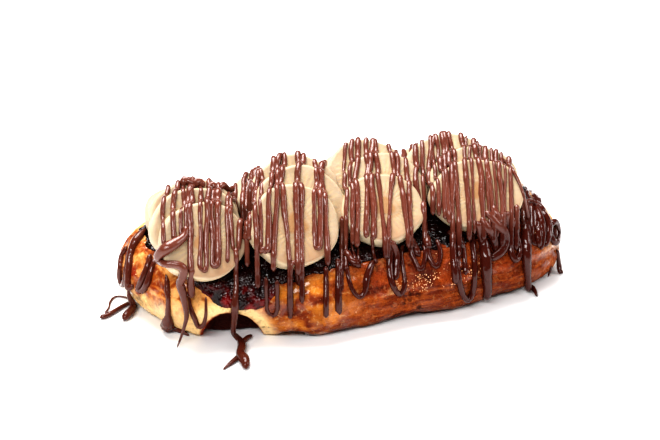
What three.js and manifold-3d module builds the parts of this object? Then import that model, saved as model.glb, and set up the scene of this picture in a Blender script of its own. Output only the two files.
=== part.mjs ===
// A belgian waffle dessert: an oblong waffle with a sugar-glazed crust, dark berry jam in and over its top
// pockets, four columns of banana slices that lean on each other, and thin streams of milk chocolate drizzled
// to and fro across it all. Some streams run off the crust and end in small feet beside the waffle.
// Millimetres, +Z up, +X along the waffle, its front at -Y. The origin is on the middle bar of the underside.
import * as THREE from "three";
import { mergeVertices } from "three/addons/utils/BufferGeometryUtils.js";
import Module from "manifold-3d";

const wasm = await Module();
wasm.setup();

// ---------------------------------------------------------------------------------------------- dimensions

const GAP = 0.3; // kept between touching pieces

const WAFFLE_CENTER_X = 3.5;
const WAFFLE_HALF_LENGTH = 81;
const WAFFLE_HALF_WIDTH = 41;
const WAFFLE_SQUARENESS = 4; // exponent of the superellipse that the outline follows
const WAFFLE_TOP = 25;
const WAFFLE_SEGMENTS = 60;
const SIDE_PROFILE = [
  // how far the crust lies inside the outline, at each height from the underside to the top
  { inset: 6.5, z: 0 },
  { inset: 3.2, z: 1.6 },
  { inset: 0.8, z: 6 },
  { inset: 0, z: 12.5 },
  { inset: 1.5, z: 17 },
  { inset: 4.5, z: 21.5 },
  { inset: 8, z: 24.3 },
  { inset: 11, z: WAFFLE_TOP },
];

const GRID_PITCH = 23.5;
const POCKET_MOUTH = 16.4;
const POCKET_FLOOR = 13.4;
const POCKET_DEPTH = 9;
const POCKET_ROWS = [-1, 0, 1];
const TOP_POCKET_COLUMNS = [-2, -1, 0, 1, 2];
const BOTTOM_POCKET_COLUMNS = [-2.5, -1.5, -0.5, 0.5, 1.5, 2.5]; // half a pitch off the top ones
const ARCH_WIDTH = 17.2; // of the mouth that a bottom pocket opens in the dented side
const ARCH_HEIGHT = 12;
const ARCH_LENGTH = 20;
const ARCH_COLUMN = -1.5;
const ARCH_TURN = -26; // degrees from straight forward, square to the dented side

const JAM_TOP = 26.6;
const JAM_INSET = 9;
const JAM_SEGMENTS = 44;

const SLICE_THICKNESS = 6;
const SLICE_BULGE = 0.6; // how far the middle of the cut edge stands out
const SLICE_SEGMENTS = 24;
const SOCKET_SEGMENTS = 12; // of the print that a slice leaves in the jam
const SOCKET_SPACE = 0.9; // between the slice and its print, which its fewer sides need
const SLICE_REST = 25.6; // height of the lowest edge of a slice that rests on the waffle
const SLICE_SPACE = 0.6; // between one slice and the next behind it
// Each column runs from the front slice to the last: the middle of the lowest edge along X, the lean from
// lying flat, the turn to the left, and the slice's width and height.
const SLICE_COLUMNS = [
  {
    name: "a",
    frontY: -28.5,
    rest: 23.5,
    slices: [
      { x: -53.1, lean: 53, turn: 6, width: 31.2, height: 26.9 },
      { x: -53, lean: 52, turn: 6, width: 32.7, height: 26.4 },
      { x: -51.9, lean: 50, turn: 2, width: 31.7, height: 25.2 },
      { x: -50.5, lean: 6, turn: -4, width: 32, height: 30 },
    ],
  },
  {
    name: "b",
    frontY: -34.2,
    rest: 24.6,
    slices: [
      { x: -21.7, lean: 47, turn: 4, width: 32.6, height: 29.4 },
      { x: -17, lean: 46, turn: -2, width: 32.3, height: 30.5 },
      { x: -14.7, lean: 44, turn: 0, width: 33, height: 30.4 },
      { x: -15.5, lean: 11, turn: 3, width: 32, height: 31 },
    ],
  },
  {
    name: "c",
    frontY: -32.5,
    rest: 25.5,
    slices: [
      { x: 11.2, lean: 36, turn: -2, width: 30.2, height: 26.6 },
      { x: 18.3, lean: 36, turn: 3, width: 31.6, height: 29 },
      { x: 15.5, lean: 37, turn: 0, width: 31.2, height: 29.6 },
      { x: 18, lean: 8, turn: -3, width: 31, height: 29 },
    ],
  },
  {
    name: "d",
    frontY: -35,
    rest: 25.5,
    slices: [
      { x: 47, lean: 38, turn: -2, width: 35.6, height: 26.4 },
      { x: 51.5, lean: 38, turn: 2, width: 34.6, height: 26 },
      { x: 46, lean: 36, turn: -4, width: 34, height: 27.6 },
      { x: 51, lean: 4, turn: 2, width: 33, height: 30 },
    ],
  },
];

const STREAM_RADIUS = 1.15;
const STREAM_SIDES = 4;
const STREAM_STEP = 8; // between sections of a stream
const STREAM_SLANT = 0.4; // how far a leg moves along +X for each millimetre along +Y
const STREAM_LIFT = 0.35; // from the surface up to a stream's middle
const FIRST_LEG = -82; // X where the first leg would meet Y = FRONT_LINE
const LAST_LEG = 72;
const LEG_PITCH = 9.5;
const LEG_PITCH_RIGHT = 8; // right of DENSE_FROM the streams lie closer
const DENSE_FROM = 22;
const FRONT_LINE = -40;
const LEG_REACH = 52; // legs are sought between -LEG_REACH and LEG_REACH along Y
const BRIDGE_SPAN = 9; // widest notch that a stream bridges
const BRIDGE_SAG = 0.05;
const SHORTEST_RUN = 7; // shorter ones on a piece are left out

// -------------------------------------------------------------------------------------------------- helpers

let randomState = 7;
// A repeatable draw between 0 and 1.
function draw() {
  randomState = (randomState * 1103515245 + 12345) % 2147483648;
  return randomState / 2147483648;
}

function solidOf(geometry) {
  geometry.deleteAttribute("normal");
  geometry.deleteAttribute("uv");
  const merged = mergeVertices(geometry, 1e-3);
  return new wasm.Manifold(
    new wasm.Mesh({
      numProp: 3,
      vertProperties: merged.attributes.position.array,
      triVerts: new Uint32Array(merged.index.array),
    }),
  );
}

function geometryOf(solid) {
  const mesh = solid.getMesh();
  const geometry = new THREE.BufferGeometry();
  geometry.setAttribute("position", new THREE.BufferAttribute(mesh.vertProperties, 3));
  geometry.setIndex(new THREE.BufferAttribute(mesh.triVerts, 1));
  geometry.computeVertexNormals();
  return geometry;
}

function joined(solids) {
  return solids.reduce((whole, next) => whole.add(next));
}

// The one body of a solid that matters: scraps that a cut leaves lying loose are dropped.
function largestBody(solid) {
  return solid.decompose().reduce((best, next) => (next.volume() > best.volume() ? next : best));
}

const radians = THREE.MathUtils.degToRad;
const smoothDip = (offset, width) => Math.exp(-(offset * offset) / (2 * width * width));

// --------------------------------------------------------------------------------------------------- waffle

// Distance from the waffle's centre to its outline in a direction: a superellipse with a deep dent at the
// front left, where the batter ran short, and the shallow lobes of the bar ends.
function outlineRadius(angle) {
  const lengthwise = Math.abs(Math.cos(angle) / WAFFLE_HALF_LENGTH) ** WAFFLE_SQUARENESS;
  const crosswise = Math.abs(Math.sin(angle) / WAFFLE_HALF_WIDTH) ** WAFFLE_SQUARENESS;
  const even = (lengthwise + crosswise) ** (-1 / WAFFLE_SQUARENESS);
  const turn = THREE.MathUtils.radToDeg(angle);
  const degrees = ((turn % 360) + 360) % 360;
  const frontLeftDent = 0.19 * smoothDip(degrees - 208, 16);
  const backLeftDent = 0.07 * smoothDip(degrees - 148, 11);
  const backRightDent = 0.05 * smoothDip(degrees - 36, 12);
  const frontSwell = 0.02 * smoothDip(degrees - 268, 16);
  const lobes = 0.8 * Math.sin(7 * angle + 1.3) + 0.5 * Math.sin(11 * angle);
  return even * (1 - frontLeftDent - backLeftDent - backRightDent + frontSwell) + lobes;
}

function outlinePoint(angle, inset) {
  const at = (a) => {
    const radius = outlineRadius(a);
    return new THREE.Vector2(WAFFLE_CENTER_X + radius * Math.cos(a), radius * Math.sin(a));
  };
  const ahead = at(angle + 0.02);
  const behind = at(angle - 0.02);
  const inward = new THREE.Vector2(behind.y - ahead.y, ahead.x - behind.x).normalize();
  return at(angle).addScaledVector(inward, inset);
}

// How far a spot lies inside the outline, measured square to the edge.
function insetAt(x, y) {
  const angle = Math.atan2(y, x - WAFFLE_CENTER_X);
  const edge = outlinePoint(angle, 0);
  const further = outlinePoint(angle, 1);
  const radial = new THREE.Vector2(Math.cos(angle), Math.sin(angle));
  const slant = -radial.dot(further.sub(edge));
  return (outlineRadius(angle) - Math.hypot(x - WAFFLE_CENTER_X, y)) * slant;
}

// A turned body whose rings follow the waffle's outline instead of a circle.
function bodyAlongOutline(profile, segments, raise = () => 0) {
  const farIn = 100;
  const turned = profile.map(({ inset, z }) => new THREE.Vector2(farIn - inset, z));
  turned.unshift(new THREE.Vector2(0, profile[0].z));
  turned.push(new THREE.Vector2(0, profile[profile.length - 1].z));
  const geometry = new THREE.LatheGeometry(turned, segments).rotateX(Math.PI / 2);
  const position = geometry.attributes.position;
  for (let i = 0; i < position.count; i++) {
    const reach = Math.hypot(position.getX(i), position.getY(i));
    const z = position.getZ(i);
    if (reach < 1) {
      position.setXYZ(i, WAFFLE_CENTER_X, 0, z + raise(WAFFLE_CENTER_X, 0, z));
      continue;
    }
    const angle = Math.atan2(position.getY(i), position.getX(i));
    const spot = outlinePoint(angle, farIn - reach);
    position.setXYZ(i, spot.x, spot.y, z + raise(spot.x, spot.y, z));
  }
  return solidOf(geometry);
}

// The hollow of one pocket, open at the top of the waffle or, turned over, at its underside.
function pocket(column, row, opensUp, shrink) {
  const side = (width) => (width / 2 - shrink) * Math.SQRT2;
  const past = 6; // it reaches this far out of the waffle, at the same taper
  const taper = (POCKET_MOUTH - POCKET_FLOOR) / POCKET_DEPTH;
  const depth = POCKET_DEPTH - shrink;
  const geometry = new THREE.CylinderGeometry(
    side(POCKET_MOUTH + past * taper),
    side(POCKET_FLOOR),
    depth + past,
    4,
  );
  geometry.rotateY(Math.PI / 4).rotateX(opensUp ? Math.PI / 2 : -Math.PI / 2);
  const middle = opensUp ? WAFFLE_TOP - depth + (depth + past) / 2 : depth - (depth + past) / 2;
  geometry.translate(column * GRID_PITCH, row * GRID_PITCH, middle);
  return solidOf(geometry);
}

// The mouth of the bottom pocket that the dent in the side cuts open.
function sideArch(shrink) {
  const radius = ARCH_WIDTH / 2 - shrink;
  const geometry = new THREE.CylinderGeometry(radius, radius, ARCH_LENGTH, 14);
  geometry.scale(1, 1, (ARCH_HEIGHT - shrink) / radius);
  geometry.translate(0, -ARCH_LENGTH / 2, 0).rotateZ(radians(ARCH_TURN));
  geometry.translate(ARCH_COLUMN * GRID_PITCH, -GRID_PITCH, 0);
  return solidOf(geometry);
}

function waffleSolid(grow = 0) {
  const profile = SIDE_PROFILE.map(({ inset, z }) => ({
    inset: inset - grow,
    z: z + (z > WAFFLE_TOP / 2 ? grow : -grow),
  }));
  const pockets = [];
  for (const row of POCKET_ROWS) {
    for (const column of TOP_POCKET_COLUMNS) pockets.push(pocket(column, row, true, grow));
    for (const column of BOTTOM_POCKET_COLUMNS) pockets.push(pocket(column, row, false, grow));
  }
  return bodyAlongOutline(profile, WAFFLE_SEGMENTS).subtract(joined([...pockets, sideArch(grow)]));
}

// Height of the crust's upper half at a distance inside the outline.
function crustHeight(inset) {
  const upper = SIDE_PROFILE.filter(({ z }) => z >= WAFFLE_TOP / 2);
  if (inset < upper[0].inset) return -Infinity;
  for (let i = 1; i < upper.length; i++) {
    const low = upper[i - 1];
    const high = upper[i];
    if (inset < high.inset) {
      return low.z + ((inset - low.inset) / (high.inset - low.inset)) * (high.z - low.z);
    }
  }
  return WAFFLE_TOP;
}

// ------------------------------------------------------------------------------------------------------ jam

// The jam's surface swells over whole berries.
function jamSwell(x, y, z) {
  if (z < WAFFLE_TOP) return 0;
  return 0.5 * Math.sin(x * 0.31 + 1.7 * Math.sin(y * 0.23)) + 0.4 * Math.sin(y * 0.41 + x * 0.12);
}

// A sheet over the top with a peg in each pocket, which the waffle's own shape cuts out of it.
function jamSolid(grow = 0) {
  const floor = WAFFLE_TOP - POCKET_DEPTH + GAP;
  const profile = [
    { inset: JAM_INSET + 1 - grow, z: floor },
    { inset: JAM_INSET - grow, z: WAFFLE_TOP - 0.4 },
    { inset: JAM_INSET + 2 - grow, z: JAM_TOP + grow },
    { inset: JAM_INSET + 12, z: JAM_TOP + grow },
  ];
  return bodyAlongOutline(profile, JAM_SEGMENTS, jamSwell);
}

// --------------------------------------------------------------------------------------------- banana slices

// Each slice leans back on the next one, so its place follows from the slice in front of it.
function placeSlices() {
  const placed = [];
  for (const column of SLICE_COLUMNS) {
    let y = column.frontY;
    column.slices.forEach((slice, row) => {
      const lean = radians(slice.lean);
      const turn = radians(slice.turn);
      const right = new THREE.Vector3(Math.cos(turn), Math.sin(turn), 0);
      const back = new THREE.Vector3(-Math.sin(turn), Math.cos(turn), 0);
      const up = back.clone().multiplyScalar(Math.cos(lean));
      up.z = Math.sin(lean);
      const normal = back.clone().multiplyScalar(-Math.sin(lean));
      normal.z = Math.cos(lean);
      const rest = row === 0 ? column.rest : SLICE_REST;
      const lowest = new THREE.Vector3(slice.x, y, rest + SLICE_THICKNESS * Math.cos(lean));
      placed.push({
        name: `banana_${column.name}${row + 1}`,
        width: slice.width,
        height: slice.height,
        center: lowest.addScaledVector(up, slice.height / 2), // of the face that looks forward
        right,
        up,
        normal,
      });
      const next = column.slices[row + 1];
      if (next) {
        const nextLean = radians(next.lean);
        y += SLICE_THICKNESS * (Math.sin(lean) + Math.cos(nextLean) / Math.tan(lean));
        y += SLICE_SPACE;
      }
    });
  }
  return placed;
}

// A cut slice: a disc with a slightly bulging skin edge and the faint five sides of a banana.
function sliceSolid(slice, grow = 0, segments = SLICE_SEGMENTS) {
  const half = SLICE_THICKNESS / 2 + grow;
  const radius = 1 + grow / (slice.width / 2);
  const narrow = 1 - SLICE_BULGE / (slice.width / 2);
  const profile = [
    new THREE.Vector2(0, -half),
    new THREE.Vector2(radius * narrow, -half),
    new THREE.Vector2(radius, 0),
    new THREE.Vector2(radius * narrow, half),
    new THREE.Vector2(0, half),
  ];
  const geometry = new THREE.LatheGeometry(profile, segments).rotateX(Math.PI / 2);
  const position = geometry.attributes.position;
  const phase = slice.center.x + slice.center.y;
  for (let i = 0; i < position.count; i++) {
    const angle = Math.atan2(position.getY(i), position.getX(i));
    const fiveSided = 1 + 0.018 * Math.cos(5 * angle + phase);
    const across = (position.getX(i) * fiveSided * slice.width) / 2;
    const upward = (position.getY(i) * fiveSided * slice.height) / 2;
    position.setXYZ(i, across, upward, position.getZ(i) - SLICE_THICKNESS / 2);
  }
  const frame = new THREE.Matrix4().makeBasis(slice.right, slice.up, slice.normal);
  geometry.applyMatrix4(frame.setPosition(slice.center));
  return solidOf(geometry);
}

// Height of a slice over a spot, or -Infinity beside it: its front face, and behind that its edge.
function sliceHeight(slice, x, y) {
  let highest = -Infinity;
  for (const depth of [0, SLICE_THICKNESS / 2, SLICE_THICKNESS]) {
    const middle = slice.center.clone().addScaledVector(slice.normal, -depth);
    const dx = x - middle.x;
    const dy = y - middle.y;
    const dz = -(slice.normal.x * dx + slice.normal.y * dy) / slice.normal.z;
    const offset = new THREE.Vector3(dx, dy, dz);
    const across = offset.dot(slice.right) / (slice.width / 2);
    const upward = offset.dot(slice.up) / (slice.height / 2);
    if (Math.hypot(across, upward) < 1) highest = Math.max(highest, middle.z + dz);
  }
  return highest;
}

// ------------------------------------------------------------------------------------------------- chocolate

// What a stream falling on a spot lands on, and how high: null past the waffle's edge.
function surfaceAt(slices, x, y) {
  const inset = insetAt(x, y);
  let found = null;
  if (inset > 0.2) found = { owner: "waffle", z: crustHeight(inset) };
  if (inset > JAM_INSET + 1) found = { owner: "jam", z: JAM_TOP + jamSwell(x, y, JAM_TOP) };
  for (const slice of slices) {
    const z = sliceHeight(slice, x, y);
    if (z > (found ? found.z : 0)) found = { owner: slice.name, z };
  }
  return found;
}

// A stream doesn't fill a notch: it hangs across on a short sagging span.
function bridged(samples) {
  return samples.map((sample, i) => {
    let z = sample.z;
    for (let j = Math.max(0, i - BRIDGE_SPAN); j < i; j++) {
      for (let k = i + 1; k <= Math.min(samples.length - 1, j + BRIDGE_SPAN); k++) {
        const part = (i - j) / (k - j);
        const chord = samples[j].z + part * (samples[k].z - samples[j].z);
        z = Math.max(z, chord - BRIDGE_SAG * (i - j) * (k - i));
      }
    }
    return { ...sample, z };
  });
}

// One pass of the stream from the front crust over the slices to the back crust, as the runs that lie on
// each piece in turn.
function legRuns(slices, startX, frontEnd, backEnd) {
  const samples = [];
  for (let y = -LEG_REACH; y <= LEG_REACH; y += 1) {
    const sway = 0.8 * Math.sin(y * 0.11 + startX);
    const x = startX + STREAM_SLANT * (y - FRONT_LINE) + sway;
    const surface = surfaceAt(slices, x, y);
    if (surface) samples.push({ x, y, ...surface });
  }
  while (samples.length && samples[0].z < frontEnd) samples.shift();
  while (samples.length && samples[samples.length - 1].z < backEnd) samples.pop();
  const runs = [];
  for (const { owner, x, y, z } of bridged(samples)) {
    const last = runs[runs.length - 1];
    if (!last || last.owner !== owner) runs.push({ owner, points: [] });
    runs[runs.length - 1].points.push(new THREE.Vector3(x, y, z + STREAM_LIFT));
  }
  return runs.filter(({ points }) => points.length > SHORTEST_RUN);
}

// A round stream along points, with a flat cut at each end that grows outward as the radius does.
function streamSolid({ points, radius = STREAM_RADIUS }, grow = 0) {
  const curve = new THREE.CatmullRomCurve3(points, false, "centripetal");
  const steps = Math.max(2, Math.round(curve.getLength() / STREAM_STEP));
  const kept = curve.getSpacedPoints(steps);
  if (grow > 0) {
    const first = kept[0].clone().sub(kept[1]).setLength(grow);
    const last = kept[steps].clone().sub(kept[steps - 1]).setLength(grow);
    kept[0].add(first);
    kept[steps].add(last);
  }
  const section = new THREE.Shape();
  for (let i = 0; i < STREAM_SIDES; i++) {
    const angle = (i / STREAM_SIDES) * 2 * Math.PI;
    const spot = [(radius + grow) * Math.cos(angle), (radius + grow) * Math.sin(angle)];
    if (i === 0) section.moveTo(...spot);
    else section.lineTo(...spot);
  }
  const path = new THREE.CatmullRomCurve3(kept, false, "centripetal");
  return solidOf(new THREE.ExtrudeGeometry(section, { steps, extrudePath: path }));
}

// Every leg of the drizzle, from left to right. Legs end at random on the crust or on a front slice.
function drizzle(slices) {
  const runs = [];
  let startX = FIRST_LEG;
  while (startX < LAST_LEG) {
    const frontEnd = 14 + 9 * draw();
    const backEnd = 16 + 8 * draw();
    runs.push(...legRuns(slices, startX, frontEnd, backEnd));
    const pitch = startX > DENSE_FROM ? LEG_PITCH_RIGHT : LEG_PITCH;
    startX += pitch * (0.8 + 0.4 * draw());
  }
  return runs;
}

// Streams that ran over the edge: each clings to the crust, hangs down and ends in a foot beside it.
const RUN_OFFS = [
  { radius: 1.5, points: [[-72, 3, 19], [-76.4, 2, 13], [-77.6, 0, 7], [-77.8, -1.4, 1.8]] },
  { radius: 1.2, points: [[-72, 12, 7], [-77, 11, 1.8], [-81, 9, 1.5], [-87.3, 1, 1.5]] },
  { radius: 1.7, points: [[-63, -10, 19], [-68, -14, 13], [-68.8, -16, 7], [-67.6, -16.8, 2.2]] },
  { radius: 1.3, points: [[-67.6, -16.6, 1.8], [-65.2, -18.2, 1.6], [-61.5, -20.4, 1.6]] },
  { radius: 1.5, points: [[-47, -27, 19], [-49, -32.4, 13], [-49.5, -33.4, 7], [-49, -34, 1.8]] },
  { radius: 1.3, points: [[-49, -33.6, 1.7], [-49.5, -40, 1.6], [-50.2, -47.6, 1.6]] },
  { radius: 1.6, points: [[43, -37, 18], [43.4, -41.4, 13], [43.6, -41.6, 7], [43.6, -40.8, 2.6]] },
  { radius: 1.4, points: [[61, -35, 19], [61.8, -39.4, 13], [62, -40, 7], [62.6, -39.4, 1.9], [63.6, -43.4, 1.7]] },
  { radius: 1.3, points: [[75, -28, 12], [77.6, -31.2, 8.5], [78.4, -32.4, 5], [78.8, -33.4, 1.9]] },
].map(({ radius, points }) => ({
  owner: "waffle",
  radius,
  points: points.map((point) => new THREE.Vector3(...point)),
}));

// --------------------------------------------------------------------------------------------------- assembly

const slices = placeSlices();
const streams = [...drizzle(slices), ...RUN_OFFS];

// The bare pieces, each as it is and grown by the gap that its neighbours keep.
const bare = new Map();
const grown = new Map();
bare.set("waffle", waffleSolid());
grown.set("waffle", waffleSolid(GAP));
for (const slice of slices) {
  const inFront = [...grown.values()];
  bare.set(slice.name, sliceSolid(slice).subtract(joined(inFront)));
  grown.set(slice.name, sliceSolid(slice, GAP));
}
const sockets = slices.map((slice) => sliceSolid(slice, SOCKET_SPACE, SOCKET_SEGMENTS));
bare.set("jam", jamSolid().subtract(joined([grown.get("waffle"), ...sockets])));
grown.set("jam", jamSolid(GAP));

// The chocolate is fused to the piece that it lies on and stops short of the others.
function withChocolate(name) {
  const own = streams.filter(({ owner }) => owner === name).map((stream) => streamSolid(stream));
  if (!own.length) return largestBody(bare.get(name));
  const others = [...grown].filter(([key]) => key !== name).map(([, solid]) => solid);
  const earlier = streamsBefore(name).map((stream) => streamSolid(stream, GAP));
  const chocolate = joined(own).subtract(joined([...others, ...earlier]));
  return largestBody(bare.get(name).add(chocolate));
}

// Where streams of two pieces meet, the piece named first keeps its own whole.
function streamsBefore(name) {
  const order = [...bare.keys()];
  return streams.filter(({ owner }) => order.indexOf(owner) < order.indexOf(name));
}

const FINISH = {
  waffle: { color: 0xc47d33, roughness: 0.45, metalness: 0 },
  jam: { color: 0x2a0710, roughness: 0.15, metalness: 0 },
  banana: { color: 0xeedcb4, roughness: 0.5, metalness: 0 },
};

const dessert = new THREE.Group();
for (const name of bare.keys()) {
  const finish = FINISH[name.split("_")[0]];
  const mesh = new THREE.Mesh(geometryOf(withChocolate(name)), new THREE.MeshStandardMaterial(finish));
  mesh.name = name;
  dessert.add(mesh);
}

export default dessert;
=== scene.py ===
# %% [markdown]
# # A belgian waffle with jam, banana and milk chocolate
#
# An oblong waffle with a caramelised crust carries dark berry jam, four columns of banana slices that lean
# on each other, and thin streams of milk chocolate drizzled to and fro across all of it. This lesson dresses
# the packed solids one after the other: crust, sugar, jam, banana, chocolate, and then the light. The frame
# loads first, because every piece is placed from its numbers.

# %% Load the frame
import math
import random

import bpy
import numpy as np
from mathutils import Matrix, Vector, noise
from mathutils.bvhtree import BVHTree


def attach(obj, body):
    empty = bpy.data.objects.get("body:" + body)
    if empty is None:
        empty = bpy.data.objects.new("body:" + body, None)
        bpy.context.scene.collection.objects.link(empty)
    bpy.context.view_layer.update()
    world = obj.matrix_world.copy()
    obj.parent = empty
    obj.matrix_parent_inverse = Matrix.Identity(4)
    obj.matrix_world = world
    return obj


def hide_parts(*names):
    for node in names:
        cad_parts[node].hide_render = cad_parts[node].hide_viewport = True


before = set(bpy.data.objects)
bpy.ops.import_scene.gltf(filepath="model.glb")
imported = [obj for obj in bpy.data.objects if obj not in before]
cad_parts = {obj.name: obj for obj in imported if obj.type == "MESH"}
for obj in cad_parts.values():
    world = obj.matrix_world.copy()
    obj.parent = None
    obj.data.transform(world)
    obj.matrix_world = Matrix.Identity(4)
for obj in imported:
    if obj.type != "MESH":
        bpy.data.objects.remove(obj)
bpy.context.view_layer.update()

# %% [markdown]
# ## Millimetres
#
# A cook measures a waffle in millimetres and Blender in metres. All shapes below are worked out in
# millimetres, and one factor turns them into metres when a mesh is made, so the numbers stay readable.

# %% Units and mesh helpers
MM = 0.001


def link(piece):
    """Show an object in the scene."""
    bpy.context.scene.collection.objects.link(piece)
    return piece


def mesh_piece(name, vertices, faces, material):
    """A smooth mesh object from vertices in millimetres."""
    mesh = bpy.data.meshes.new(name)
    mesh.from_pydata([tuple(MM * c for c in v) for v in vertices], [], faces)
    mesh.shade_smooth()
    mesh.materials.append(material)
    return link(bpy.data.objects.new(name, mesh))


def linear(red, green, blue):
    """A colour picked as sRGB numbers from 0 to 255, as the linear colour that nodes take."""
    parts = [c / 255 for c in (red, green, blue)]
    return tuple(c / 12.92 if c < 0.04045 else ((c + 0.055) / 1.055) ** 2.4 for c in parts) + (1.0,)


print("middle grey in linear light:", [round(c, 3) for c in linear(128, 128, 128)])

# %% [markdown]
# ## Nodes as expressions
#
# Both the shapes and the finishes are node trees. A tree is easiest to read as arithmetic, so a small class
# wraps one output socket, and every operator on it adds a Math node. Anything that isn't arithmetic comes
# from its one method `node`: the node's type, its settings, then its inputs.

# %% The wire class
class Wire:
    """One output socket of a node tree, used like a number."""

    def __init__(self, tree, socket=None):
        self.tree = tree
        self.socket = socket

    def node(self, kind, settings=None, inputs=None, out=0):
        """Add a node: settings first, then the values or links of its sockets; give one of its outputs."""
        made = self.tree.nodes.new(kind)
        for name, value in (settings or {}).items():
            if name == "points":
                curve = made.mapping.curves[0]
                while len(curve.points) < len(value):
                    curve.points.new(0.5, 0.5)
                for point, place in zip(curve.points, value):
                    point.location = place
                made.mapping.update()
            else:
                setattr(made, name, value)
        for name, value in (inputs or {}).items():
            if isinstance(value, Wire):
                self.tree.links.new(value.socket, made.inputs[name])
            else:
                made.inputs[name].default_value = value
        return Wire(self.tree, made.outputs[out])

    def math(self, operation, *others):
        """A Math node on this value and the others."""
        return self.node("ShaderNodeMath", {"operation": operation}, dict(enumerate((self, *others))))

    def __add__(self, other):
        return self.math("ADD", other)

    def __sub__(self, other):
        return self.math("SUBTRACT", other)

    def __mul__(self, other):
        return self.math("MULTIPLY", other)

    def __truediv__(self, other):
        return self.math("DIVIDE", other)

    def __pow__(self, other):
        return self.math("POWER", other)

    def __mod__(self, other):
        return self.math("FLOORED_MODULO", other)

    def reflected(self, operation, first):
        return self.node("ShaderNodeMath", {"operation": operation}, {0: first, 1: self})

    def __rsub__(self, other):
        return self.reflected("SUBTRACT", other)

    def __rtruediv__(self, other):
        return self.reflected("DIVIDE", other)

    __radd__ = __add__
    __rmul__ = __mul__

    def low(self, other, blend=0.0):
        """The smaller of two values, rounded over where they meet."""
        return self.math("SMOOTH_MIN", other, blend) if blend else self.math("MINIMUM", other)

    def high(self, other, blend=0.0):
        """The larger of two values, rounded over where they meet."""
        return self.math("SMOOTH_MAX", other, blend) if blend else self.math("MAXIMUM", other)

    def between(self, start, end, low=0.0, high=1.0):
        """Soft step: low before start, high after end."""
        settings = {"interpolation_type": "SMOOTHSTEP"}
        return self.node("ShaderNodeMapRange", settings, {0: self, 1: start, 2: end, 3: low, 4: high})

    def bell(self, width):
        """1 at zero, falling away smoothly on both sides."""
        return (self * self * (-0.5 / width**2)).math("EXPONENT")


def split(vector):
    """The X, Y and Z of a vector wire."""
    made = vector.node("ShaderNodeSeparateXYZ", {}, {0: vector})
    return [Wire(vector.tree, s) for s in made.socket.node.outputs]


def millimetres(vector):
    """The X, Y and Z of a place, in millimetres."""
    return [part * 1000 for part in split(vector)]


def grain(vector, size, detail=2.0, roughness=0.5, distortion=0.0):
    """Noise from 0 to 1 whose lumps are about `size` metres wide."""
    inputs = {"Vector": vector, "Scale": 1 / size, "Detail": detail, "Roughness": roughness}
    return vector.node("ShaderNodeTexNoise", {}, inputs | {"Distortion": distortion})


def mixed(share, first, second):
    """One colour over another."""
    settings = {"data_type": "RGBA", "blend_type": "MIX", "clamp_factor": True}
    return share.node("ShaderNodeMix", settings, {0: share, 6: first, 7: second}, out=2)


def layered(colour, *layers):
    """A colour with others laid over it, each with its share."""
    for share, tone in layers:
        colour = mixed(share, colour, tone)
    return colour


print("methods of a wire:", [name for name in vars(Wire) if not name.startswith("_")])

# %% [markdown]
# ## Running a Geometry Nodes tree
#
# A tree that makes a piece gets named inputs for its sizes. The helper sets them by their identifiers before
# the object is first evaluated, turns the result into a plain mesh, and takes the modifier off again.

# %% Tree helpers
INPUT_KINDS = {float: "NodeSocketFloat", int: "NodeSocketInt"}


def shape_tree(name, sizes, takes_geometry=False):
    """A new tree, a dict of wires for its named inputs, and its geometry input if it has one."""
    tree = bpy.data.node_groups.new(name, "GeometryNodeTree")
    if takes_geometry:
        tree.interface.new_socket("Geometry", in_out="INPUT", socket_type="NodeSocketGeometry")
    for label, value in sizes.items():
        socket = tree.interface.new_socket(label, in_out="INPUT", socket_type=INPUT_KINDS[type(value)])
        socket.default_value = value
    tree.interface.new_socket("Geometry", in_out="OUTPUT", socket_type="NodeSocketGeometry")
    source = tree.nodes.new("NodeGroupInput")
    wires = {s.name: Wire(tree, s) for s in source.outputs if s.name}
    return tree, wires


def close_tree(geometry, material):
    """End a tree with Realize Instances, smooth shading and the finish."""
    real = geometry.node("GeometryNodeRealizeInstances", {}, {0: geometry})
    smooth = geometry.node("GeometryNodeSetShadeSmooth", {}, {0: real})
    dressed = geometry.node("GeometryNodeSetMaterial", {}, {0: smooth, "Material": material})
    output = geometry.tree.nodes.new("NodeGroupOutput")
    geometry.tree.links.new(dressed.socket, output.inputs[0])


def grow(name, tree, sizes, mesh=None):
    """Run a tree and keep its result as a plain mesh object."""
    piece = link(bpy.data.objects.new(name, mesh or bpy.data.meshes.new(name)))
    modifier = piece.modifiers.new("grow", "NODES")
    modifier.node_group = tree
    for item in tree.interface.items_tree:
        if item.in_out == "INPUT" and item.name in sizes:
            modifier[item.identifier] = sizes[item.name]
    graph = bpy.context.evaluated_depsgraph_get()
    made = bpy.data.meshes.new_from_object(piece.evaluated_get(graph), depsgraph=graph)
    piece.modifiers.clear()
    piece.data = made
    made.name = name
    triangles = sum(len(face.vertices) - 2 for face in made.polygons)
    print(f"{name}: {len(made.vertices)} vertices, {triangles} triangles")
    return piece


# %% [markdown]
# ## Skins of fields
#
# Crust and jam are both worked out as a field, a number for every spot that is positive inside the piece.
# Two helpers turn such a field into a skin and roughen it.

# %% Field helpers
OUTSIDE = -5.0


def field_skin(field, voxel, low, high):
    """The skin round everything in a block of voxels where a field is positive."""
    counts = [((b - a) * MM / voxel).math("ROUND") for a, b in zip(low, high)]
    corners = {"Min": tuple(MM * c for c in low), "Max": tuple(MM * c for c in high)}
    resolution = {f"Resolution {axis}": count for axis, count in zip("XYZ", counts)}
    inputs = {"Density": field, "Background": OUTSIDE, **corners, **resolution}
    block = field.node("GeometryNodeVolumeCube", {}, inputs)
    return field.node("GeometryNodeVolumeToMesh", {}, {"Volume": block, "Threshold": 0.0})


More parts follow.
